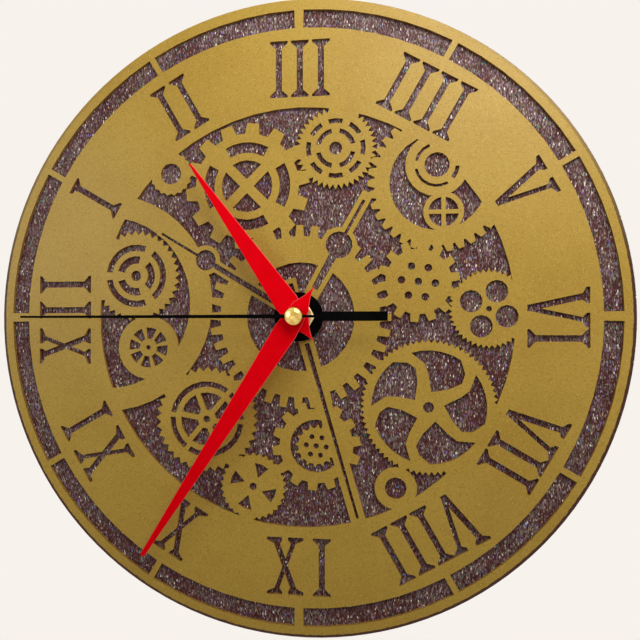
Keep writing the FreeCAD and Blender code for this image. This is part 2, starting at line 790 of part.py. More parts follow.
def pivoted(place, low, high, shafts):
    # A thin pivot from low to high with thicker lengths of arbor on it.
    body = [peg(place.x, place.y, pivot_radius, low, high)]
    body += [peg(place.x, place.y, radius, a, b) for radius, a, b in shafts]
    return body


def rotor_pinion():
    low, high = intermediate_low - pinion_overrun, intermediate_high + pinion_overrun
    body = pivoted(rotor_place, bridge_low, plate_high, [(arbor_radius, high, core_high)])
    return fused([gear(rotor_place, rotor_teeth, train_module, low, high, rotor_tooth)] + body)


def rotor_magnet():
    low = (stator_low + stator_high - magnet_thickness) / 2
    x, y = rotor_place.x, rotor_place.y
    magnet = drum(x, y, magnet_radius, low, low + magnet_thickness)
    return magnet.cut(peg(x, y, arbor_radius + seat_clearance, low, low + magnet_thickness))


def intermediate_wheel():
    body = pivoted(intermediate_place, bridge_low, plate_high, [])
    body.append(gear(intermediate_place, intermediate_teeth, train_module, intermediate_low,
                     intermediate_high, 0))
    body.append(gear(intermediate_place, intermediate_pinion_teeth, train_module, intermediate_high,
                     second_high + pinion_overrun, intermediate_pinion_tooth))
    return fused(body)


def second_wheel():
    body = [gear(origin, second_teeth, train_module, second_low, second_high, 0),
            gear(origin, second_pinion_teeth, third_module, second_high, third_high + pinion_overrun, 0)]
    bore = drum(0, 0, second_arbor_radius + seat_clearance, second_low, third_high + pinion_overrun)
    return fused(body).cut(bore)


def second_arbor():
    shaft = drum(0, 0, second_arbor_radius, bridge_low, arbor_high)
    shoulder = drum(0, 0, arbor_radius, bridge_high + play, second_low)
    return shaft.fuse(shoulder).removeSplitter()


def third_wheel():
    body = pivoted(third_place, bridge_low, plate_high, [(arbor_radius, bridge_high + play, third_low)])
    body.append(gear(third_place, third_teeth, third_module, third_low, third_high, third_tooth))
    body.append(gear(third_place, third_pinion_teeth, centre_module, third_high, ring_high + play, 0))
    return fused(body)


def centre_wheel():
    wheel = gear(origin, centre_teeth, centre_module, ring_low, ring_high, centre_tooth)
    return wheel.cut(drum(0, 0, minute_pipe_radius + fit_clearance, ring_low, ring_high))


def minute_pipe():
    top = minute_hand_high + pipe_end_reach
    body = [drum(0, 0, minute_pipe_radius, collar_low, top),
            drum(0, 0, minute_pipe_radius + collar_width, collar_low, collar_high),
            gear(origin, cannon_teeth, motion_module, motion_low, motion_high, 0)]
    return fused(body).cut(drum(0, 0, minute_pipe_bore, collar_low, top))


def motion_wheel():
    body = pivoted(motion_place, plate_low, pivot_high - play, [])
    body.append(gear(motion_place, motion_teeth, motion_module, motion_low, motion_high, motion_tooth))
    body.append(gear(motion_place, motion_pinion_teeth, hour_module, motion_high, hour_high, 0))
    return fused(body)


def hour_wheel():
    wheel = gear(origin, hour_teeth, hour_module, hour_low, hour_high, hour_tooth)
    return wheel.cut(drum(0, 0, hour_pipe_radius + seat_clearance, hour_low, hour_high))


def hour_pipe():
    top = hour_hand_high + pipe_end_reach
    return drum(0, 0, hour_pipe_radius, hour_low, top).cut(drum(0, 0, hour_pipe_bore, hour_low, top))


def setting_knob():
    x, y = knob_place.x, knob_place.y
    grip = toothed(x, y, knob_radius - knob_grip_depth, knob_radius, knob_grip_count, 0,
                   knob_grip_root_share, knob_grip_tip_share)
    body = [raise_up(grip, knob_recess, knob_flange_low),
            drum(x, y, knob_radius + knob_flange_width, knob_flange_low, knob_flange_high),
            peg(x, y, knob_shaft_radius, knob_flange_high, motion_low),
            peg(x, y, pivot_radius, motion_high, pivot_high - play),
            gear(knob_place, knob_teeth, motion_module, motion_low, motion_high, knob_tooth)]
    return fused(body)


def battery_cell():
    x = -half_cell
    body = Part.makeCylinder(cell_radius, cell_length, V(x, cell_y, cell_z), V(1, 0, 0))
    cap = Part.makeCylinder(cell_cap_radius, cell_length + cell_cap_height, V(x, cell_y, cell_z), V(1, 0, 0))
    return body.fuse(cap).removeSplitter()


def contact_strip(side):
    # A plate in the battery bay, a neck through the partition and a tab on the board.
    reach = cell_radius * strip_plate_share
    x0, x1 = sorted((side * half_inside, side * (half_inside - strip_thickness)))
    top = board_high + strip_thickness
    low = top - strip_width
    plate = block(x0, cell_y - reach, cell_z - reach, x1, cell_y + reach, cell_z + reach)
    if side > 0:
        neck_end = plus_tab_y + strip_width / 2
        neck = block(x0, cell_y, low, x1, neck_end, top)
        tab = block(board_right - strip_overlap, plus_tab_y - strip_width / 2, board_high, x1, neck_end, top)
        pieces = [plate, neck, tab]
    else:
        neck = block(x0, cell_y, low, x1, pocket_low + strip_thickness, top)
        tab_left = minus_tab_x - strip_width / 2
        tab_right = minus_tab_x + strip_width / 2
        run = block(x0, pocket_low, low, tab_right, pocket_low + strip_thickness, top)
        tab = block(tab_left, pocket_low, board_high, tab_right, board_bottom + strip_overlap, top)
        pieces = [plate, neck, run, tab]
    tip = half_inside - half_cell - strip_thickness - seat_clearance
    inward = V(-side, 0, 0)
    foot = V(side * (half_inside - strip_thickness), cell_y, cell_z)
    root = contact_tip_radius if side > 0 else contact_root_radius
    if side > 0:
        pieces.append(Part.makeCylinder(root, tip, foot, inward))
    else:
        pieces.append(Part.makeCone(root, contact_tip_radius, tip, foot, inward))
    return fused(pieces)


def stator():
    x, y = rotor_place.x, rotor_place.y
    gap = magnet_radius + magnet_gap
    half = stator_leg_width / 2
    left, right = (place[0] for place in stud_places)
    knee = coil_height - flange_radius - stator_leg_width * stator_knee_share
    slope = V(right - x, knee - y, 0)
    across = V(-slope.y, slope.x, 0) * (half / slope.Length)
    start, end = V(x, y, 0), V(right, knee, 0)
    bar = outline([start - across, end - across, end + across, start + across])
    plates = [disc(x, y, gap + stator_ring_width), bar, disc(right, knee, half),
              rectangle(left - half, y, left + half, coil_height + half),
              rectangle(right - half, knee, right + half, coil_height + half)]
    plate = raise_up(fused(plates), stator_low, stator_high)
    return plate.cut(drum(x, y, gap, stator_low, stator_high))


def coil_core():
    half = stator_leg_width / 2
    return block(-coil_side - core_half, coil_height - half, stator_high,
                 -coil_side + core_half, coil_height + half, core_high)


def coil_tube(radius, half):
    tube = peg(0, 0, radius, -half, half)
    tube.rotate(origin, V(0, 1, 0), 90)
    tube.translate(V(-coil_side, coil_height, coil_z))
    return tube


def coil_bobbin():
    body = coil_tube(flange_radius, bobbin_half).cut(
        coil_tube(flange_radius + play, coil_length / 2).cut(coil_tube(bobbin_radius, coil_length / 2)))
    half = stator_leg_width / 2 + seat_clearance
    hole = block(-coil_side - bobbin_half, coil_height - half, stator_high - seat_clearance,
                 -coil_side + bobbin_half, coil_height + half, core_high + seat_clearance)
    return body.cut(hole)


def coil_winding():
    half = coil_length / 2 - seat_clearance
    return coil_tube(coil_radius, half).cut(coil_tube(bobbin_radius + seat_clearance, half))


def circuit_board():
    return block(board_left, board_bottom, board_low, board_right, board_top, board_high)


def timing_chip():
    x, y = (board_left + board_right) / 2, (board_bottom + board_top) / 2
    return peg(x, y, chip_radius, board_low - chip_height, board_low)


def quartz_crystal():
    x, y = (board_left + board_right) / 2, board_top - board_post_inset * 2
    return Part.makeCylinder(crystal_radius, crystal_length,
                             V(x - crystal_length / 2, y, board_high + crystal_radius), V(1, 0, 0))


# The dial, the fixings and the hands.

def backing_disc():
    plate = drum(0, 0, dial_radius, case_depth, fret_low)
    return plate.cut(drum(0, 0, bush_radius + seat_clearance, case_depth, fret_low))


def threaded_bush():
    return turned([(bush_bore, flange_low), (bush_radius + bush_flange_width, flange_low),
                   (bush_radius + bush_flange_width, front_inner), (bush_radius, front_inner),
                   (bush_radius, bush_high), (bush_bore, bush_high)])


def rubber_washer():
    ring = drum(0, 0, washer_radius, fret_high, washer_high)
    return ring.cut(drum(0, 0, bush_radius + play, fret_high, washer_high))


def hex_nut():
    flat = nut_across_flats / 2
    corner = flat / cos(pi / 6)
    face = outline([around(0, 0, corner, 30 + 60.0 * k) for k in range(6)])
    prism = raise_up(face, washer_high, nut_high)
    return prism.cut(drum(0, 0, bush_radius + seat_clearance, washer_high, nut_high))


def hand_blade(length, half, shape, low, turn, bore):
    widest, bend, bend_width, tail = shape
    tail_end = -tail * length
    upper = [V(length, 0, 0), V(length * bend, half * bend_width, 0), V(length * widest, half, 0),
             V(tail_end * tail_shoulder_shares[0], half * tail_shoulder_shares[1], 0)]
    waist = V(tail_end * tail_waist_shares[0], half * tail_waist_shares[1], 0)
    point = V(tail_end, 0, 0)
    mirror = [V(p.x, -p.y, 0) for p in upper]
    edges = [Part.makeLine(a, b) for a, b in zip(upper, upper[1:])]
    edges.append(Part.Arc(upper[-1], waist, point).toShape())
    edges.append(Part.Arc(point, V(waist.x, -waist.y, 0), mirror[-1]).toShape())
    edges += [Part.makeLine(b, a) for a, b in reversed(list(zip(mirror, mirror[1:])))]
    blade = raise_up(Part.Face(Part.Wire(edges)), low, low + hand_thickness)
    blade = blade.cut(drum(0, 0, bore, low, low + hand_thickness))
    blade.rotate(V(0, 0, 0), V(0, 0, 1), 90.0 - turn)
    return blade


def collet(bore, high):
    ring = drum(0, 0, bore + collet_wall, high - collet_height, high)
    return ring.cut(drum(0, 0, bore, high - collet_height, high))


def second_hand():
    half, weight = second_hand_half_width, second_weight_half_width
    neck, end = second_hand_length * second_neck_end_share, second_hand_length * second_weight_end_share
    tip = half * second_tip_share
    needle = outline([V(half, 0, 0), V(tip, second_hand_length, 0), V(-tip, second_hand_length, 0),
                      V(-half, 0, 0)])
    shapes = [needle, disc(0, 0, boss_radius - seat_clearance),
              rectangle(-half * second_neck_share, -neck - weight, half * second_neck_share, 0),
              rectangle(-weight, -end, weight, -neck)]
    blade = raise_up(fused(shapes), second_hand_low, second_hand_high)
    return blade.cut(drum(0, 0, second_arbor_radius + seat_clearance, second_hand_low, second_hand_high))


def second_boss():
    bore = second_arbor_radius + seat_clearance
    side_high = second_hand_high + boss_height * boss_side_share
    floor = boss_high - boss_dimple_depth
    last_turn = acos(boss_dimple_radius / boss_radius)
    dome = []
    for k in range(boss_dome_steps + 1):
        turn = last_turn * k / boss_dome_steps
        rise = sin(turn) / sin(last_turn)
        dome.append((boss_radius * cos(turn), side_high + (boss_high - side_high) * rise))
    return turned([(0, floor), (0, arbor_high), (bore, arbor_high), (bore, second_hand_high),
                   (boss_radius, second_hand_high)] + dome + [(boss_dimple_radius, floor)])


pieces = {
    "backing_disc": backing_disc(),
    "fret_plate": fret_plate_solid(fret_low, fret_high, bush_radius + play, mm(hub_land_share)),
    "rubber_washer": rubber_washer(),
    "hex_nut": hex_nut(),
    "threaded_bush": threaded_bush(),
    "movement_case": movement_case(),
    "rear_cover": rear_cover(),
    "train_bridge": train_bridge(),
    "middle_plate": middle_plate(),
    "circuit_board": circuit_board(),
    "timing_chip": timing_chip(),
    "quartz_crystal": quartz_crystal(),
    "stator": stator(),
    "coil_core": coil_core(),
    "coil_bobbin": coil_bobbin(),
    "coil_winding": coil_winding(),
    "positive_contact": contact_strip(1),
    "negative_contact": contact_strip(-1),
    "battery_cell": battery_cell(),
    "rotor_pinion": rotor_pinion(),
    "rotor_magnet": rotor_magnet(),
    "intermediate_wheel": intermediate_wheel(),
    "second_wheel": second_wheel(),
    "second_arbor": second_arbor(),
    "third_wheel": third_wheel(),
    "centre_wheel": centre_wheel(),
    "minute_pipe": minute_pipe(),
    "motion_wheel": motion_wheel(),
    "hour_wheel": hour_wheel(),
    "hour_pipe": hour_pipe(),
    "setting_knob": setting_knob(),
    "hour_hand": hand_blade(hour_hand_length, hour_hand_half_width, hour_shape_shares, hour_hand_low,
                            hour_hand_turn, hour_pipe_radius + seat_clearance),
    "hour_collet": collet(hour_pipe_radius + seat_clearance, hour_hand_low),
    "minute_hand": hand_blade(minute_hand_length, minute_hand_half_width, minute_shape_shares,
                              minute_hand_low, minute_hand_turn, minute_pipe_radius + seat_clearance),
    "minute_collet": collet(minute_pipe_radius + seat_clearance, minute_hand_low),
    "second_hand": second_hand(),
    "second_boss": second_boss(),
}

os.makedirs("parts", exist_ok=True)
for name, piece in pieces.items():
    # Stand the clock up: XII to +Z and the dial to -Y.
    piece.rotate(V(0, 0, 0), V(1, 0, 0), 90)
    if not piece.isValid() or len(piece.Solids) != 1:
        print("look at", name, "valid", piece.isValid(), "solids", len(piece.Solids))
    piece.exportStep("parts/" + name + ".step")
print("built", len(pieces), "pieces; centre distances", round(second_pair_distance, 3),
      round(rotor_pair_distance, 3), third_centre_distance, motion_pair_distance, knob_pair_distance)
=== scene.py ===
import math

import bmesh
import bpy
from mathutils import Matrix, Vector
from mathutils.kdtree import KDTree


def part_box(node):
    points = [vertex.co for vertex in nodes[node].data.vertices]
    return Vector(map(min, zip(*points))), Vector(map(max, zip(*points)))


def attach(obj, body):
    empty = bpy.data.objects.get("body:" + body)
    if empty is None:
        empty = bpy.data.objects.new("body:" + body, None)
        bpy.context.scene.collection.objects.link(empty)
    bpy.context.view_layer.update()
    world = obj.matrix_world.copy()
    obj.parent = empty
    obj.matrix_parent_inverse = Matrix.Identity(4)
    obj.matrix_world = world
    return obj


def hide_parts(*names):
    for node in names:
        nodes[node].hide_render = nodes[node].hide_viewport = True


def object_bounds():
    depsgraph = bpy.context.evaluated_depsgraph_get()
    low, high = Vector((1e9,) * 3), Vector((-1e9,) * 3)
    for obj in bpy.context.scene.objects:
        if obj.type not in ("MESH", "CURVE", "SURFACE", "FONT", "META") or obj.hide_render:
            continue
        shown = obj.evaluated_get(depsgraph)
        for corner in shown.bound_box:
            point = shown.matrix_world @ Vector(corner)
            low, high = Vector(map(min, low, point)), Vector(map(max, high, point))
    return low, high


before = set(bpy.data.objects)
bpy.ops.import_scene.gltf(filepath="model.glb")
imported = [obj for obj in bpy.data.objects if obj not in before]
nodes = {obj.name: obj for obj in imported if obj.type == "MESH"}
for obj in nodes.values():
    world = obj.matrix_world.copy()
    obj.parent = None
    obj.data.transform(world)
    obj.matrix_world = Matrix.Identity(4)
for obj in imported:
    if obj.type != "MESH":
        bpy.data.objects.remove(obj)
packedLow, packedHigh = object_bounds()
print("frame loaded:", len(nodes), "parts")

# Lengths are metres. The dial faces -Y, XII is towards +Z and III towards +X.
clockAxis = Vector((0.0, 1.0, 0.0))
mergeGap = 0.000002
cutGap = 0.0000001


def middleOf(name):
    low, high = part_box(name)
    return (low + high) / 2


def halfWidthOf(name):
    low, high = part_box(name)
    return (high.x - low.x) / 2


def paint(red, green, blue):
    # screen colour 0-255 to the shader's linear colour
    shares = [value / 255 for value in (red, green, blue)]
    linear = [s / 12.92 if s <= 0.04045 else ((s + 0.055) / 1.055) ** 2.4 for s in shares]
    return (*linear, 1.0)


def grey(value):
    return (value, value, value, 1.0)


# Shader building blocks: every finish reads Object coordinates

def addNode(tree, kind, inputs=None, **settings):
    node = tree.nodes.new(kind)
    for key, value in settings.items():
        setattr(node, key, value)
    for socket, value in (inputs or {}).items():
        if isinstance(value, bpy.types.NodeSocket):
            tree.links.new(value, node.inputs[socket])
        else:
            node.inputs[socket].default_value = value
    return node


def openFinish(name):
    material = bpy.data.materials.new(name)
    material.use_nodes = True
    tree = material.node_tree
    shader = next(n for n in tree.nodes if n.type == "BSDF_PRINCIPLED")
    place = addNode(tree, "ShaderNodeTexCoord").outputs["Object"]
    return material, tree, shader, place


def stretched(tree, place, scale):
    return addNode(tree, "ShaderNodeMapping", {"Vector": place, "Scale": scale}).outputs["Vector"]


def cloud(tree, place, scale, detail=3.0, rough=0.55):
    inputs = {"Vector": place, "Scale": scale, "Detail": detail, "Roughness": rough}
    return addNode(tree, "ShaderNodeTexNoise", inputs).outputs["Fac"]


def cells(tree, place, scale):
    return addNode(tree, "ShaderNodeTexVoronoi", {"Vector": place, "Scale": scale})


def channels(tree, colour):
    return addNode(tree, "ShaderNodeSeparateColor", {0: colour}).outputs


def axisOf(tree, vector, axis):
    return addNode(tree, "ShaderNodeSeparateXYZ", {0: vector}).outputs[axis]


def vectorOf(tree, operation, inputs, output="Vector"):
    return addNode(tree, "ShaderNodeVectorMath", inputs, operation=operation).outputs[output]


def sumOf(tree, first, second, operation="ADD"):
    return addNode(tree, "ShaderNodeMath", {0: first, 1: second}, operation=operation).outputs["Value"]


def graded(tree, factor, stops, interpolation="LINEAR"):
    ramp = addNode(tree, "ShaderNodeValToRGB", {"Fac": factor})
    ramp.color_ramp.interpolation = interpolation
    points = ramp.color_ramp.elements
    while len(points) < len(stops):
        points.new(0.5)
    for point, (position, colour) in zip(points, stops):
        point.position = position
        point.color = colour
    return ramp.outputs["Color"]


def window(tree, factor, low, high, least=0.0, most=1.0):
    # least at low, most at high
    inputs = {"Value": factor, "From Min": low, "From Max": high, "To Min": least, "To Max": most}
    return addNode(tree, "ShaderNodeMapRange", inputs, clamp=True).outputs["Result"]


def spreadOf(tree, factor, spread, start):
    return sumOf(tree, sumOf(tree, factor, spread, "MULTIPLY"), start)


def twoTone(tree, factor, span, first, second):
    # first colour up to the span's start, second from its end
    return graded(tree, factor, list(zip(span, (first, second))))


def blended(tree, factor, first, second, mode="MIX"):
    inputs = {0: factor, 6: first, 7: second}
    return addNode(tree, "ShaderNodeMix", inputs, data_type="RGBA", blend_type=mode).outputs[2]


def relief(tree, height, depth, under=None):
    inputs = {"Height": height, "Distance": depth, "Strength": 1.0}
    if under is not None:
        inputs["Normal"] = under
    return addNode(tree, "ShaderNodeBump", inputs).outputs["Normal"]


def wave(tree, place, scale, wobble, **settings):
    inputs = {"Vector": place, "Scale": scale, "Distortion": wobble}
    return addNode(tree, "ShaderNodeTexWave", inputs, **settings).outputs["Fac"]


def acrossOf(tree):
    # the normal's Y: -1 on the front of the dial, 1 on its back, 0 on a cut edge
    return axisOf(tree, addNode(tree, "ShaderNodeTexCoord").outputs["Normal"], "Y")


def flatness(tree, low, high):
    # 1 where the surface faces the front or the back of the dial
    flat = addNode(tree, "ShaderNodeMath", {0: acrossOf(tree)}, operation="ABSOLUTE").outputs["Value"]
    return window(tree, flat, low, high)


def feed(tree, shader, **sources):
    names = {"colour": "Base Color", "rough": "Roughness", "normal": "Normal", "metal": "Metallic",
             "shine": "Specular IOR Level"}
    for key, value in sources.items():
        if isinstance(value, bpy.types.NodeSocket):
            tree.links.new(value, shader.inputs[names[key]])
        else:
            shader.inputs[names[key]].default_value = value


# Finish settings: a noise is (scale, detail), a span is where a change starts and where it ends

goldCoat = {
    "paint": paint(194, 158, 64), "deepPaint": paint(184, 147, 55), "mottle": (22.0, 4.0),
    "mottleSpan": (0.3, 0.6), "fleck": paint(210, 174, 78), "dimFleck": paint(166, 126, 38),
    "flakeScale": 2400.0, "fleckShare": 0.12, "grain": (1700.0, 3.0), "grainSpan": (0.3, 0.7),
    "grainShade": 0.72, "grainShare": 0.35, "grainDepth": 0.00005, "fine": (5200.0, 2.0),
    "fineDepth": 0.000015, "rough": 0.38, "roughSpread": 0.12, "shine": 0.34,
    "burntEdge": paint(168, 130, 58), "charredEdge": paint(132, 92, 40), "char": (700.0, 3.0),
    # the rim colour paints the outer edge's scorch together with painted shade
    "charSpan": (0.35, 0.7), "rimBurnAndShade": paint(66, 30, 10), "rimStep": 0.0013, "rimWander": 0.001,
    "rimNoise": (380.0, 4.0), "rimShadeFade": (0.13, 0.02), "faceSpan": (0.6, 0.8),
}


def goldFinish():
    s = goldCoat
    material, tree, shader, place = openFinish("fretGold")
    coat = twoTone(tree, cloud(tree, place, *s["mottle"]), s["mottleSpan"], s["deepPaint"], s["paint"])
    # metal flakes in the paint: most alike, a few brighter or dimmer
    flake = channels(tree, cells(tree, place, s["flakeScale"]).outputs["Color"])
    fewest = 1.0 - s["fleckShare"]
    coat = blended(tree, window(tree, flake["Red"], fewest, 1.0), coat, s["fleck"])
    coat = blended(tree, window(tree, flake["Green"], fewest, 1.0), coat, s["dimFleck"])
    grain = cloud(tree, place, *s["grain"])
    tone = twoTone(tree, grain, s["grainSpan"], grey(s["grainShade"]), grey(1.0))
    coat = blended(tree, s["grainShare"], coat, tone, "MULTIPLY")
    # the outer edge is painted dark, unevenly: partly its laser scorch, partly painted shade that fades out
    # towards III, where the key lamp stands
    reach = vectorOf(tree, "LENGTH", {0: stretched(tree, place, (1.0, 0.0, 1.0))}, "Value")
    wander = sumOf(tree, cloud(tree, place, *s["rimNoise"]), s["rimWander"], "MULTIPLY")
    edge = halfWidthOf("fret_plate") - s["rimStep"] + s["rimWander"] / 2
    scorchedAndShaded = window(tree, sumOf(tree, reach, wander), edge, edge + s["rimWander"] / 4)
    aside = window(tree, axisOf(tree, place, "X"), *s["rimShadeFade"])
    coat = blended(tree, sumOf(tree, scorchedAndShaded, aside, "MULTIPLY"), coat, s["rimBurnAndShade"])
    # the cut edges are charred by the laser
    cut = twoTone(tree, cloud(tree, place, *s["char"]), s["charSpan"], s["charredEdge"], s["burntEdge"])
    fine = relief(tree, cloud(tree, place, *s["fine"]), s["fineDepth"])
    feed(tree, shader, colour=blended(tree, flatness(tree, *s["faceSpan"]), cut, coat),
         rough=spreadOf(tree, flake["Blue"], s["roughSpread"], s["rough"]),
         normal=relief(tree, grain, s["grainDepth"], fine), shine=s["shine"])
    return material


glitterCoat = {
    "varnish": paint(92, 44, 42), "deepVarnish": paint(62, 26, 28), "pool": (160.0, 3.0),
    "poolSpan": (0.35, 0.65),
    "flakes": [(0.0, paint(92, 64, 58)), (0.16, paint(110, 84, 74)), (0.34, paint(122, 94, 90)),
               (0.5, paint(104, 78, 92)), (0.62, paint(112, 112, 92)), (0.72, paint(138, 110, 124)),
               (0.83, paint(150, 134, 122)), (0.92, paint(174, 158, 146)), (0.98, paint(240, 232, 216))],
    "flakeScale": 2500.0, "flakeStretch": (0.4, 1.0, 1.0), "flakeEdge": 0.08, "patch": (38.0, 3.0),
    "patchSpan": (0.4, 0.6), "bareShare": (0.24, 0.56),
    "paintedGlints": [(0.0, paint(70, 150, 120)), (0.24, paint(160, 112, 206)), (0.46, paint(255, 250, 244)),
               (0.66, paint(104, 140, 204)), (0.82, paint(222, 178, 120))],
    "glintScale": 1500.0, "glintShare": 0.87, "glintEdge": 0.01, "glintCore": (0.42, 0.3),
    "tilt": 0.4, "shine": 0.2, "roughSpan": (-1.0, 1.8), "backWood": paint(186, 148, 104),
    "backGrain": paint(154, 116, 76), "grainStretch": (260.0, 260.0, 18.0), "grain": (1.0, 5.0),
    "grainSpan": (0.35, 0.62), "rim": paint(44, 27, 20), "faceSpan": (0.6, 0.8), "rearSpan": (-0.1, 0.1),
}


def glitterFinish():
    s = glitterCoat
    material, tree, shader, place = openFinish("glitterGround")
    streaks = stretched(tree, place, s["flakeStretch"])
    flake = cells(tree, streaks, s["flakeScale"]).outputs["Color"]
    pick = channels(tree, flake)
    ground = twoTone(tree, cloud(tree, place, *s["pool"]), s["poolSpan"], s["deepVarnish"], s["varnish"])
    # flakes lie thicker in some patches than in others
    bare = window(tree, cloud(tree, place, *s["patch"]), *s["patchSpan"], *s["bareShare"])
    cover = window(tree, sumOf(tree, pick["Green"], bare, "SUBTRACT"), 0.0, s["flakeEdge"])
    top = blended(tree, cover, ground, graded(tree, pick["Red"], s["flakes"], "CONSTANT"))
    # painted glints: a few larger flakes are painted bright, in colours and white, standing in for their sparkle
    # under the lamps
    glint = cells(tree, streaks, s["glintScale"]).outputs
    glintPick = channels(tree, glint["Color"])
    here = window(tree, glintPick["Red"], s["glintShare"], s["glintShare"] + s["glintEdge"])
    core = window(tree, glint["Distance"], *s["glintCore"])
    hue = graded(tree, glintPick["Blue"], s["paintedGlints"], "CONSTANT")
    top = blended(tree, sumOf(tree, here, core, "MULTIPLY"), top, hue)
    # plain wood on the back, dark burnt rim
    lines = cloud(tree, stretched(tree, place, s["grainStretch"]), *s["grain"])
    wood = twoTone(tree, lines, s["grainSpan"], s["backGrain"], s["backWood"])
    face = blended(tree, window(tree, acrossOf(tree), *s["rearSpan"]), top, wood)
    # each flake leans its own way
    shift = vectorOf(tree, "SUBTRACT", {0: flake, 1: (0.5, 0.5, 0.5)})
    lean = vectorOf(tree, "SCALE", {0: shift, "Scale": s["tilt"]})
    straight = addNode(tree, "ShaderNodeNewGeometry").outputs["Normal"]
    normal = vectorOf(tree, "NORMALIZE", {0: vectorOf(tree, "ADD", {0: straight, 1: lean})})
    feed(tree, shader, colour=blended(tree, flatness(tree, *s["faceSpan"]), s["rim"], face),
         rough=window(tree, pick["Blue"], *s["roughSpan"]), normal=normal, shine=s["shine"])
    return material


# Metal finishes

brassCoat = {
    "age": (420.0, 4.0), "ageSpan": (0.35, 0.6), "wobble": 0.6, "ringDepth": 0.0000025,
    "scratch": (5200.0, 2.0), "scratchDepth": 0.000003, "roughSpread": 0.18,
}


def brassFinish(name, tone, dull, groove=2600.0, rough=0.22):
    s = brassCoat
    material, tree, shader, place = openFinish(name)
    age = cloud(tree, place, *s["age"])
    rings = wave(tree, place, groove, s["wobble"], wave_type="RINGS", rings_direction="Y")
    scratches = relief(tree, cloud(tree, place, *s["scratch"]), s["scratchDepth"])
    feed(tree, shader, colour=twoTone(tree, age, s["ageSpan"], dull, tone), metal=1.0,
         rough=spreadOf(tree, age, s["roughSpread"], rough), normal=relief(tree, rings, s["ringDepth"], scratches))
    return material


steelCoat = {
    "draw": (0.15, 1.0, 1.0), "brushDetail": 4.0, "brushSpan": (0.3, 0.7), "brushDepth": 0.00001,
    "roughSpread": 0.25,
}


def steelFinish(name, tone, dull, scale=900.0, rough=0.3):
    s = steelCoat
    material, tree, shader, place = openFinish(name)
    brushed = cloud(tree, stretched(tree, place, s["draw"]), scale, s["brushDetail"])
    feed(tree, shader, colour=twoTone(tree, brushed, s["brushSpan"], dull, tone), metal=1.0,
         rough=spreadOf(tree, brushed, s["roughSpread"], rough), normal=relief(tree, brushed, s["brushDepth"]))
    return material


copperCoat = {
    "wire": paint(190, 104, 58), "gap": paint(96, 46, 22), "turnScale": 1500.0, "wobble": 0.3,
    "turnSpan": (0.1, 0.6), "turnDepth": 0.00006, "rough": 0.35, "metal": 0.85,
}


def windingFinish():
    s = copperCoat
    material, tree, shader, place = openFinish("copperWire")
    turns = wave(tree, place, s["turnScale"], s["wobble"], wave_type="BANDS", bands_direction="X")
    feed(tree, shader, colour=twoTone(tree, turns, s["turnSpan"], s["gap"], s["wire"]), rough=s["rough"],
         normal=relief(tree, turns, s["turnDepth"]), metal=s["metal"])
    return material


# Enamel, plastic, rubber and lacquer

enamelCoat = {
    "shade": (130.0, 3.0), "shadeSpan": (0.3, 0.6), "peel": (1400.0, 2.0), "peelDepth": 0.00001,
    "roughSpread": 0.16, "faceSpan": (0.9, 0.995),
}


def enamelFinish(name, tone, worn, edge, rough=0.36, shine=0.03):
    s = enamelCoat
    material, tree, shader, place = openFinish(name)
    shade = cloud(tree, place, *s["shade"])
    coat = twoTone(tree, shade, s["shadeSpan"], worn, tone)
    coat = blended(tree, flatness(tree, *s["faceSpan"]), edge, coat)  # painted highlight: paler on the rounded edges, where the lamps would glint
    feed(tree, shader, colour=coat, rough=spreadOf(tree, shade, s["roughSpread"], rough),
         normal=relief(tree, cloud(tree, place, *s["peel"]), s["peelDepth"]), shine=shine)
    return material


sleeveFilm = {
    "draw": (60.0, 400.0, 400.0), "film": (1.0, 3.0), "filmSpan": (0.3, 0.65), "filmDepth": 0.00002,
    "rough": 0.3, "roughSpread": 0.16, "shine": 0.5,
}


def sleeveFinish(name, tone, deep):
    # shrunk plastic film, drawn tight along the cell
    s = sleeveFilm
    material, tree, shader, place = openFinish(name)
    drawn = cloud(tree, stretched(tree, place, s["draw"]), *s["film"])
    feed(tree, shader, colour=twoTone(tree, drawn, s["filmSpan"], deep, tone),
         rough=spreadOf(tree, drawn, s["roughSpread"], s["rough"]), normal=relief(tree, drawn, s["filmDepth"]),
         shine=s["shine"])
    return material


mouldedSkin = {
    "shade": (90.0, 3.0), "shadeSpan": (0.3, 0.7), "rub": (320.0, 5.0, 0.65), "rubSpan": (0.62, 0.8),
    "rubGain": 1.35, "rubLift": 0.01, "grainDetail": 2.0, "roughSpread": 0.3, "roughDrop": 0.15,
}


def mouldedFinish(name, tone, deep, rough=0.5, grainScale=1800.0, grainDepth=0.00003, shine=0.4):
    s = mouldedSkin
    material, tree, shader, place = openFinish(name)
    colour = twoTone(tree, cloud(tree, place, *s["shade"]), s["shadeSpan"], deep, tone)
    rubbed = cloud(tree, place, *s["rub"])
    lighter = tuple(min(1.0, c * s["rubGain"] + s["rubLift"]) for c in tone[:3]) + (1.0,)
    colour = blended(tree, window(tree, rubbed, *s["rubSpan"]), colour, lighter)
    grain = cloud(tree, place, grainScale, s["grainDetail"])
    feed(tree, shader, colour=colour, rough=spreadOf(tree, rubbed, s["roughSpread"], rough - s["roughDrop"]),
         normal=relief(tree, grain, grainDepth), shine=shine)
    return material


boardCoat = {
    "lacquer": paint(30, 104, 56), "deepLacquer": paint(20, 82, 44), "pool": (200.0, 3.0),
    "poolSpan": (0.3, 0.7), "track": paint(64, 140, 84), "trackScale": 420.0, "trackSpan": (0.12, 0.05),
    "trackDepth": 0.00003, "rough": 0.3,
}


def boardFinish():
    s = boardCoat
    material, tree, shader, place = openFinish("circuitGreen")
    tracks = cells(tree, place, s["trackScale"])
    tracks.feature = "DISTANCE_TO_EDGE"
    line = window(tree, tracks.outputs["Distance"], *s["trackSpan"])
    lacquer = twoTone(tree, cloud(tree, place, *s["pool"]), s["poolSpan"], s["deepLacquer"], s["lacquer"])
    feed(tree, shader, colour=blended(tree, line, lacquer, s["track"]), rough=s["rough"],
         normal=relief(tree, line, s["trackDepth"]))
    return material


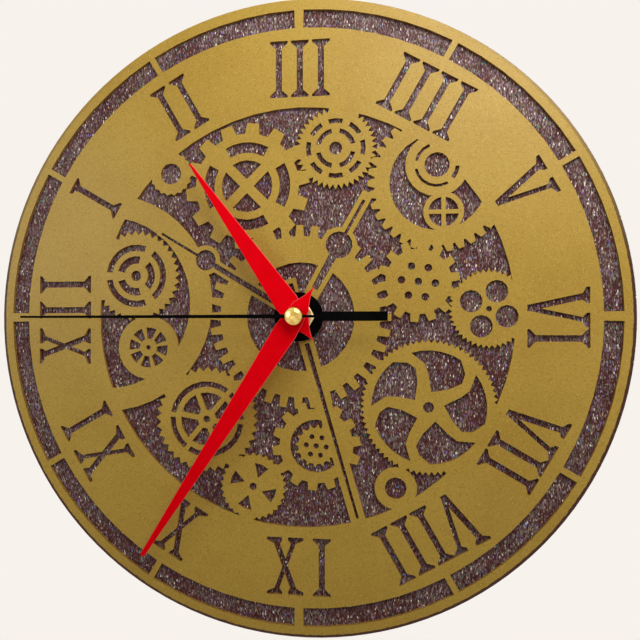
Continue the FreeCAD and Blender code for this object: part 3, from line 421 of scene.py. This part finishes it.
finishes = {material.name: material for material in (
    goldFinish(),
    glitterFinish(),
    brassFinish("noseBrass", paint(242, 214, 134), paint(212, 172, 88), groove=3200.0, rough=0.08),
    brassFinish("nutBrass", paint(250, 230, 176), paint(226, 196, 130), rough=0.4),
    brassFinish("pipeBrass", paint(214, 180, 104), paint(164, 130, 66)),
    # in each hand finish the third colour is a painted highlight on the rounded edges
    enamelFinish("handRed", paint(255, 0, 20), paint(246, 0, 15), paint(255, 92, 86)),
    enamelFinish("handBlack", paint(8, 8, 8), paint(3, 3, 3), paint(20, 20, 20), rough=0.4, shine=0.02),
    mouldedFinish("washerRubber", paint(8, 8, 8), paint(4, 4, 4), rough=0.75, grainScale=2600.0,
                  grainDepth=0.00005, shine=0.02),
    mouldedFinish("caseBlack", paint(38, 38, 40), paint(27, 27, 29)),
    mouldedFinish("coverBlack", paint(44, 44, 46), paint(31, 31, 33), rough=0.46),
    mouldedFinish("bridgeWhite", paint(222, 220, 212), paint(204, 201, 190)),
    mouldedFinish("wheelWhite", paint(234, 231, 220), paint(216, 212, 198), rough=0.42),
    mouldedFinish("knobWhite", paint(228, 225, 214), paint(206, 202, 188)),
    mouldedFinish("bobbinCream", paint(230, 224, 202), paint(210, 202, 176)),
    mouldedFinish("chipBlack", paint(22, 22, 23), paint(14, 14, 15), rough=0.32),
    mouldedFinish("magnetGrey", paint(92, 92, 95), paint(70, 70, 73), rough=0.6),
    steelFinish("statorSteel", paint(176, 176, 180), paint(140, 140, 146)),
    steelFinish("contactSteel", paint(206, 206, 206), paint(170, 170, 172)),
    steelFinish("arborSteel", paint(196, 196, 200), paint(160, 160, 166), scale=2200.0, rough=0.2),
    steelFinish("crystalCan", paint(210, 210, 214), paint(180, 180, 186), scale=1500.0, rough=0.22),
    windingFinish(),
    boardFinish(),
    sleeveFinish("cellBand", paint(196, 148, 78), paint(178, 130, 64)),
    sleeveFinish("cellSleeve", paint(40, 47, 62), paint(26, 31, 42)),
)}
print("finishes ready:", len(finishes))

wearers = {
    "fretGold": ["fret_plate"], "glitterGround": ["backing_disc"], "washerRubber": ["rubber_washer"],
    "nutBrass": ["hex_nut"], "noseBrass": ["second_boss"], "handRed": ["hour_hand", "minute_hand"],
    "pipeBrass": ["threaded_bush", "minute_pipe", "hour_pipe", "hour_collet", "minute_collet"],
    "handBlack": ["second_hand"], "caseBlack": ["movement_case"], "coverBlack": ["rear_cover"],
    "bridgeWhite": ["train_bridge", "middle_plate"], "knobWhite": ["setting_knob"],
    "wheelWhite": ["rotor_pinion", "intermediate_wheel", "second_wheel", "third_wheel", "centre_wheel",
                   "motion_wheel", "hour_wheel"],
    "circuitGreen": ["circuit_board"], "chipBlack": ["timing_chip"], "crystalCan": ["quartz_crystal"],
    "statorSteel": ["stator", "coil_core"], "bobbinCream": ["coil_bobbin"], "copperWire": ["coil_winding"],
    "contactSteel": ["positive_contact", "negative_contact"], "magnetGrey": ["rotor_magnet"],
    "arborSteel": ["second_arbor"], "cellSleeve": ["battery_cell"],
}
for finish, names in wearers.items():
    for name in names:
        nodes[name].data.materials.clear()
        nodes[name].data.materials.append(finishes[finish])


# Rounded edges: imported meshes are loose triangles, so they are welded before the bevel

edgeWork = {
    "flatAngle": math.radians(1.0), "sharpAngle": math.radians(32.0), "segments": 2,
    "widths": {"second_hand": 0.00008, "movement_case": 0.00022, "rear_cover": 0.00025,
               "setting_knob": 0.00012, "rubber_washer": 0.00015, "hour_collet": 0.0001,
               "minute_collet": 0.0001},
}


def softenEdges(piece, width):
    weld = piece.modifiers.new("weld", "WELD")
    weld.merge_threshold = mergeGap
    flat = piece.modifiers.new("flat", "DECIMATE")
    flat.decimate_type = "DISSOLVE"
    flat.angle_limit = edgeWork["flatAngle"]
    bevel = piece.modifiers.new("bevel", "BEVEL")
    bevel.width = width
    bevel.segments = edgeWork["segments"]
    bevel.limit_method = "ANGLE"
    bevel.angle_limit = edgeWork["sharpAngle"]


for name, width in edgeWork["widths"].items():
    softenEdges(nodes[name], width)
print("edges softened")


# How new pieces are made and handed over

def everything(shape):
    return shape.verts[:] + shape.edges[:] + shape.faces[:]


def turned(section, centre, axis, steps=96):
    # section is (radius, distance along the axis), from axis to axis or back to its start
    shape = bmesh.new()
    aside = axis.orthogonal().normalized()
    points = [shape.verts.new(centre + aside * r + axis * along) for r, along in section]
    for first, second in zip(points, points[1:]):
        shape.edges.new((first, second))
    bmesh.ops.spin(shape, geom=everything(shape), cent=centre, axis=axis, dvec=(0, 0, 0), angle=math.tau,
                   steps=steps, use_merge=True, use_normal_flip=False, use_duplicate=False)
    bmesh.ops.remove_doubles(shape, verts=shape.verts[:], dist=mergeGap)
    bmesh.ops.recalc_face_normals(shape, faces=shape.faces[:])
    return shape


def copied(name):
    shape = bmesh.new()
    shape.from_mesh(nodes[name].data)
    bmesh.ops.remove_doubles(shape, verts=shape.verts[:], dist=mergeGap)
    return shape


def cutOff(shape, spot, outward):
    # cuts away all beyond spot and closes the cut
    cut = bmesh.ops.bisect_plane(shape, geom=everything(shape), dist=cutGap, plane_co=spot, plane_no=outward,
                                 clear_outer=True)
    rim = [item for item in cut["geom_cut"] if isinstance(item, bmesh.types.BMEdge)]
    bmesh.ops.contextual_create(shape, geom=rim)
    return rim


def finished(name, shape, sharp=math.radians(35.0)):
    mesh = bpy.data.meshes.new(name)
    shape.to_mesh(mesh)
    shape.free()
    piece = bpy.data.objects.new(name, mesh)
    bpy.context.scene.collection.objects.link(piece)
    mesh.shade_smooth()
    mesh.set_sharp_from_angle(angle=sharp)
    return piece


def handOver(piece, finish, body, slot, *replaced):
    piece.data.materials.append(finishes[finish])
    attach(piece, body)
    if replaced:
        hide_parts(*replaced)


# Brass boss: a smooth dome with a dimple

noseCap = {"sideShare": 0.36, "crownSteps": 18, "footBevel": 0.0001, "dimpleShare": 0.2, "dimpleDepth": 0.0005,
           "floorShare": 0.9, "wallShare": 0.6}


def makeNoseCap():
    s = noseCap
    low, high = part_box("second_boss")
    middle = middleOf("second_boss")
    radius, height = halfWidthOf("second_boss"), high.y - low.y
    side = height * s["sideShare"]
    rise = height - side
    dimple, depth = radius * s["dimpleShare"], s["dimpleDepth"]
    crown = []
    for k in range(s["crownSteps"] + 1):
        turn = math.radians(90.0) * k / s["crownSteps"]
        if radius * math.cos(turn) > dimple:
            crown.append((radius * math.cos(turn), -side - rise * math.sin(turn)))
    lip = -side - rise * math.sqrt(1.0 - s["dimpleShare"] ** 2)
    foot = [(0.0, 0.0), (radius - s["footBevel"], 0.0), (radius, -s["footBevel"])]
    hollow = [(dimple, lip), (dimple * s["floorShare"], lip + depth * s["wallShare"]), (0.0, lip + depth)]
    shape = turned(foot + crown + hollow, Vector((middle.x, high.y, middle.z)), clockAxis)
    handOver(finished("nose_cap", shape), "noseBrass", "second_hand_body", "boss_brass", "second_boss")


makeNoseCap()
print("nose cap turned")


# Bush: a flanged tube with a screwed ridge

threadWork = {"pitch": 0.00075, "depth": 0.0004, "bore": 0.00265, "segments": 64, "flangeReach": 0.0015,
              "flange": 0.0004, "start": 0.0002, "mouthBevel": 0.00015, "sunk": 0.0001, "crestShare": 0.4,
              "footShare": 0.8}


def makeThreadedBush():
    s = threadWork
    low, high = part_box("threaded_bush")
    flangeRadius = halfWidthOf("threaded_bush")
    crest = flangeRadius - s["flangeReach"]
    root = crest - s["depth"]
    front, back = low.y, high.y
    flange, bevel = back - s["flange"], s["mouthBevel"]
    centre = Vector((0.0, 0.0, 0.0))
    section = [(s["bore"], back), (flangeRadius, back), (flangeRadius, flange), (root, flange),
               (root, front + bevel), (root - bevel, front), (s["bore"], front)]
    shape = turned(section + section[:1], centre, clockAxis, s["segments"])
    # the ridge: one three-cornered section screwed along the tube
    ridge = bmesh.new()
    start, pitch = front + s["start"], s["pitch"]
    turns = int((flange - start) / pitch) - 1
    corners = [(root - s["sunk"], start), (crest, start + pitch * s["crestShare"]),
               (root - s["sunk"], start + pitch * s["footShare"])]
    ridge.faces.new([ridge.verts.new(Vector((r, along, 0.0))) for r, along in corners])
    bmesh.ops.spin(ridge, geom=everything(ridge), cent=centre, axis=clockAxis, dvec=(0, pitch / s["segments"], 0),
                   angle=math.tau * turns, steps=s["segments"] * turns, use_merge=False, use_normal_flip=False,
                   use_duplicate=False)
    bmesh.ops.recalc_face_normals(ridge, faces=ridge.faces[:])
    ridgeMesh = bpy.data.meshes.new("ridge")
    ridge.to_mesh(ridgeMesh)
    ridge.free()
    shape.from_mesh(ridgeMesh)
    bpy.data.meshes.remove(ridgeMesh)
    handOver(finished("threaded_pipe", shape), "pipeBrass", "clock_body", "bush_brass", "threaded_bush")


makeThreadedBush()
print("bush threaded")


# Nut: a turned blank with coned faces, cut to a hexagon by six planes

nutWork = {"steps": 96, "faceShare": 0.95, "slope": math.tan(math.radians(28.0)), "bore": 0.0041,
           "boreBevel": 0.0004, "sharp": math.radians(20.0)}


def makeNut():
    s = nutWork
    low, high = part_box("hex_nut")
    centre, size = middleOf("hex_nut"), high - low
    corner, flat, half = max(size.x, size.z) / 2, min(size.x, size.z) / 2, size.y / 2
    firstFlat = 0.0 if size.z > size.x else math.pi / 6
    face, lip = flat * s["faceShare"], s["bore"] + s["boreBevel"]
    drop = (corner - face) * s["slope"]
    section = [(s["bore"], s["boreBevel"] - half), (lip, -half), (face, -half), (corner, drop - half),
               (corner, half - drop), (face, half), (lip, half), (s["bore"], half - s["boreBevel"])]
    shape = turned(section + section[:1], centre, clockAxis, s["steps"])
    for k in range(6):
        turn = firstFlat + math.radians(60.0) * k
        outward = Vector((math.cos(turn), 0.0, math.sin(turn)))
        cutOff(shape, centre + outward * flat, outward)
    bmesh.ops.recalc_face_normals(shape, faces=shape.faces[:])
    handOver(finished("chamfered_nut", shape, s["sharp"]), "nutBrass", "clock_body", "nut_brass", "hex_nut")


makeNut()
print("nut chamfered")


# Fret plate: the thin bars on the arms of V and X are bracketed into the strokes

serifWork = {
    "foot": 0.1032, "height": 0.026805, "bar": 0.00105, "barHalf": 0.003645, "slide": 0.0021, "drop": 0.0004,
    "near": 0.00008, "upright": 0.99, "thick": 0.001455, "thin": 0.001095, "veeReach": 0.005775,
    "exReach": 0.005025, "vees": {5: 0.0012, 6: -0.0036, 7: -0.01005, 8: -0.016395},
    "exes": {9: 0.0066, 10: -0.000495, 11: -0.009495, 12: -0.014205},
}


def armsOf(hour):
    # arms as (place, slope, half width of the stroke, end height, way inward)
    s = serifWork
    top = s["height"]
    if hour in s["vees"]:
        x, reach = s["vees"][hour], s["veeReach"]
        return [(x - reach, -reach / top, s["thick"], top, -1.0), (x + reach, reach / top, s["thin"], top, -1.0)]
    x, reach = s["exes"][hour], s["exReach"]
    slope = 2.0 * reach / top
    return [(x - reach, -slope, s["thick"], top, -1.0), (x + reach, -slope, s["thick"], 0.0, 1.0),
            (x + reach, slope, s["thin"], top, -1.0), (x - reach, slope, s["thin"], 0.0, 1.0)]


def serifShifts():
    # where a corner is now, and how it moves, both turned to its hour
    s = serifWork
    shifts = []
    for hour in list(s["vees"]) + list(s["exes"]):
        turn = Matrix.Rotation(math.radians(30.0 * hour), 3, "Y")
        for place, slope, half, end, inward in armsOf(hour):
            height = s["foot"] + end + inward * s["bar"]
            middle = place + slope * inward * s["bar"]
            along = turn @ Vector((slope, 0.0, 1.0)) * inward * s["slide"]
            down = turn @ Vector((0.0, 0.0, 1.0)) * inward * s["drop"]
            for side in (-1.0, 1.0):
                shifts.append((turn @ Vector((middle + side * half, 0.0, height)), along))
                shifts.append((turn @ Vector((place + side * s["barHalf"], 0.0, height)), down))
    return shifts


def makeFretSheet():
    s = serifWork
    shape = copied("fret_plate")
    shape.verts.ensure_lookup_table()
    finder = KDTree(len(shape.verts))
    for index, vert in enumerate(shape.verts):
        finder.insert((vert.co.x, 0.0, vert.co.z), index)
    finder.balance()
    moved = 0
    for spot, shift in serifShifts():
        for _, index, _ in finder.find_range(spot, s["near"]):
            shape.verts[index].co += shift
            moved += 1
    # the moved outlines are filled afresh, front and back
    flats = [face for face in shape.faces if abs(face.normal.y) > s["upright"]]
    bmesh.ops.delete(shape, geom=flats, context="FACES_KEEP_BOUNDARY")
    low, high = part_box("fret_plate")
    for level in (low.y, high.y):
        rim = [edge for edge in shape.edges if edge.is_boundary
               and all(abs(vert.co.y - level) < s["near"] for vert in edge.verts)]
        bmesh.ops.triangle_fill(shape, use_beauty=True, use_dissolve=False, edges=rim, normal=clockAxis)
    bmesh.ops.recalc_face_normals(shape, faces=shape.faces[:])
    piece = finished("fret_sheet", shape)
    piece.data.shade_flat()
    handOver(piece, "fretGold", "clock_body", "fret_gold", "fret_plate")
    print("serif corners moved:", moved)


makeFretSheet()


# Red hands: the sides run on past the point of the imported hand, and the tip is cut blunt.
# Places and widths are shares of the hand's own length and width.

bladeWork = {
    "near": 0.0008, "edge": 0.00022, "upright": 0.99, "cornerSteps": 4,
    "hour_hand": {"widths": {0.092: 0.97, 0.494: 1.04}, "bendAt": 0.494, "tip": 0.00055, "corner": 0.0004},
    "minute_hand": {"widths": {0.061: 0.96, 0.318: 0.94}, "bendAt": 0.318, "tip": 0.0011, "corner": 0.0008},
}


def makeBlade(node, name, body):
    s, near = bladeWork[node], bladeWork["near"]
    shape = copied(node)
    end = max((vert.co * Vector((1.0, 0.0, 1.0)) for vert in shape.verts), key=lambda spot: spot.length)
    length, along = end.length, end.normalized()
    across = along.cross(clockAxis)

    def ringAt(place):
        return [vert for vert in shape.verts if abs(vert.co.dot(along) - length * place) < near]

    for place, share in s["widths"].items():
        for vert in ringAt(place):
            vert.co += across * vert.co.dot(across) * (share - 1.0)
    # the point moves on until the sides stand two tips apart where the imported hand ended
    half = max(vert.co.dot(across) for vert in ringAt(s["bendAt"]))
    runOn = s["tip"] * length * (1.0 - s["bendAt"]) / (half - s["tip"])
    for vert in shape.verts:
        if vert.co.dot(along) > length - near:
            vert.co += along * runOn
    rim = cutOff(shape, along * length, along)
    corners = [edge for edge in rim
               if abs((edge.verts[0].co - edge.verts[1].co).normalized().y) > bladeWork["upright"]]
    bmesh.ops.bevel(shape, geom=corners, offset=s["corner"], affect="EDGES", segments=bladeWork["cornerSteps"],
                    profile=0.5, material=-1)
    bmesh.ops.recalc_face_normals(shape, faces=shape.faces[:])
    piece = finished(name, shape)
    handOver(piece, "handRed", body, "hand_red", node)
    softenEdges(piece, bladeWork["edge"])


makeBlade("hour_hand", "hour_blade", "hour_hand_body")
makeBlade("minute_hand", "minute_blade", "minute_hand_body")
print("blades cut")


# Battery cell: steel can, dark sleeve and warm band

cellWork = {
    "nub": 0.0016, "nubRadius": 0.00275, "nubFoot": 0.0006, "roll": 0.0004, "shoulderRoll": 0.0005,
    "groove": 0.0009, "grooveShares": (0.86, 0.8), "canSteps": 72, "film": 0.00012, "filmInside": 0.0003,
    "filmRound": (0.00006, 0.00008), "lip": 0.0007, "seam": 0.0002, "bandShare": 0.72,
    "base": [(0.0, 0.0001), (0.62, 0.0001), (0.68, 0.0005), (0.8, 0.0005), (0.86, 0.0)],
}


def makeCell():
    s = cellWork
    low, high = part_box("battery_cell")
    radius = (high.z - low.z) / 2
    centre = Vector((0.0, (low.y + high.y) / 2, (low.z + high.z) / 2))
    along = Vector((1.0, 0.0, 0.0))
    shoulder, can = high.x - s["nub"], radius - s["film"]
    groove, nub, roll = shoulder - s["groove"], s["nubRadius"], s["roll"]
    outer, inner = s["grooveShares"]
    section = [(can * share, low.x + rise) for share, rise in s["base"]]
    section += [(can - roll, low.x), (can, low.x + roll), (can, shoulder - s["shoulderRoll"]),
                (can - s["shoulderRoll"], shoulder), (can * outer, shoulder), (can * inner, groove),
                (nub + s["nubFoot"], groove), (nub, groove + roll), (nub, high.x - roll), (nub - roll, high.x),
                (0.0, high.x)]
    shape = turned(section, centre, along, s["canSteps"])
    handOver(finished("cell_can", shape), "crystalCan", "battery_body", "cell_jacket", "battery_cell")
    split = low.x + (shoulder - low.x) * s["bandShare"]
    inside, (inset, step) = can - s["filmInside"], s["filmRound"]
    for name, first, last, finish in (("cell_sleeve", low.x + s["lip"], split - s["seam"], "cellSleeve"),
                                      ("cell_band", split, shoulder - s["lip"], "cellBand")):
        section = [(inside, first), (radius - inset, first), (radius, first + step), (radius, last - step),
                   (radius - inset, last), (inside, last)]
        shape = turned(section + section[:1], centre, along)
        handOver(finished(name, shape), finish, "battery_body", "cell_jacket")


makeCell()
print("cell dressed")


# Floor, light and camera

studio = {
    "backdrop": paint(247, 242, 236), "shade": paint(240, 235, 229), "shadeNoise": (6.0, 3.0),
    "shadeSpan": (0.3, 0.7), "floorRough": 0.9, "floorShine": 0.1, "floorBelow": 0.12, "floorSize": 6.0,
    "shadowSpan": (0.12, 0.27), "nearShare": 0.45, "fill": 0.06, "aim": (0.0, -0.03, 0.0),
    # each lamp: name, place, width, watts
    "lamps": [("key", (0.245, -0.225, -0.125), 0.22, 0.89), ("side", (0.08, -0.28, 0.28), 0.2, 0.34),
              ("rear", (-0.3, 0.75, 0.4), 0.6, 9.0)],
}


def seenRays(tree):
    # 1 for rays that show the background: straight, in a reflection or through glass
    path = addNode(tree, "ShaderNodeLightPath").outputs
    seen = sumOf(tree, path["Is Camera Ray"], path["Is Glossy Ray"], "MAXIMUM")
    return sumOf(tree, seen, path["Is Transmission Ray"], "MAXIMUM")


def makeWorld():
    s = studio
    world = bpy.data.worlds.new("studio")
    world.use_nodes = True
    bpy.context.scene.world = world
    tree = world.node_tree
    tree.nodes.clear()
    light = addNode(tree, "ShaderNodeBackground", {"Color": grey(1.0), "Strength": s["fill"]}).outputs[0]
    shown = addNode(tree, "ShaderNodeBackground", {"Color": s["backdrop"], "Strength": 1.0}).outputs[0]
    mixed = addNode(tree, "ShaderNodeMixShader", {0: seenRays(tree), 1: light, 2: shown}).outputs[0]
    addNode(tree, "ShaderNodeOutputWorld", {"Surface": mixed})


def makeFloor():
    # pale, shows its shadow near the clock and is as plain as the backdrop further off
    s = studio
    shape = bmesh.new()
    bmesh.ops.create_grid(shape, x_segments=1, y_segments=1, size=s["floorSize"] / 2)
    bmesh.ops.translate(shape, verts=shape.verts[:], vec=(0.0, 0.0, packedLow.z - s["floorBelow"]))
    floor = finished("floor", shape)
    material, tree, shader, place = openFinish("floorPale")
    tone = twoTone(tree, cloud(tree, place, *s["shadeNoise"]), s["shadeSpan"], s["shade"], s["backdrop"])
    feed(tree, shader, colour=tone, rough=s["floorRough"], shine=s["floorShine"])
    away = vectorOf(tree, "LENGTH", {0: stretched(tree, place, (1.0, 1.0, 0.0))}, "Value")
    plain = window(tree, away, *s["shadowSpan"], s["nearShare"])
    glow = addNode(tree, "ShaderNodeEmission", {"Color": s["backdrop"], "Strength": 1.0}).outputs[0]
    share = sumOf(tree, seenRays(tree), plain, "MULTIPLY")
    both = addNode(tree, "ShaderNodeMixShader", {0: share, 1: shader.outputs[0], 2: glow}).outputs[0]
    output = next(n for n in tree.nodes if n.type == "OUTPUT_MATERIAL")
    tree.links.new(both, output.inputs["Surface"])
    floor.data.materials.append(material)


def makeLamps():
    for name, spot, size, power in studio["lamps"]:
        lamp = bpy.data.lights.new(name, "AREA")
        lamp.size = size
        lamp.energy = power
        holder = bpy.data.objects.new(name, lamp)
        bpy.context.scene.collection.objects.link(holder)
        holder.location = spot
        aim = Vector(studio["aim"]) - Vector(spot)
        holder.rotation_euler = aim.to_track_quat("-Z", "Y").to_euler()


photoCamera = {
    "fromDialCentre": (-0.00398, -0.27724, -0.04549), "towards": (-0.00155, 0.0, -0.00994),
    "upwards": (0.99996, -0.00857, -0.00151), "lens": 33.75, "sensor": 36.0, "nearest": 0.01,
}


def makeCamera():
    # turned as the photograph is, with III at the top
    s = photoCamera
    dialCentre = Vector((0.0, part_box("fret_plate")[0].y, 0.0))
    data = bpy.data.cameras.new("photo")
    data.lens = s["lens"]
    data.sensor_width = s["sensor"]
    data.clip_start = s["nearest"]
    camera = bpy.data.objects.new("photo", data)
    bpy.context.scene.collection.objects.link(camera)
    spot = dialCentre + Vector(s["fromDialCentre"])
    forward = (dialCentre + Vector(s["towards"]) - spot).normalized()
    right = forward.cross(Vector(s["upwards"])).normalized()
    above = right.cross(forward)
    turn = Matrix((right, above, -forward)).transposed()
    camera.matrix_world = Matrix.Translation(spot) @ turn.to_4x4()
    bpy.context.scene.camera = camera


bpy.context.scene.view_settings.view_transform = "Standard"
makeWorld()
makeFloor()
makeLamps()
print("studio lit")
makeCamera()
print("camera placed")
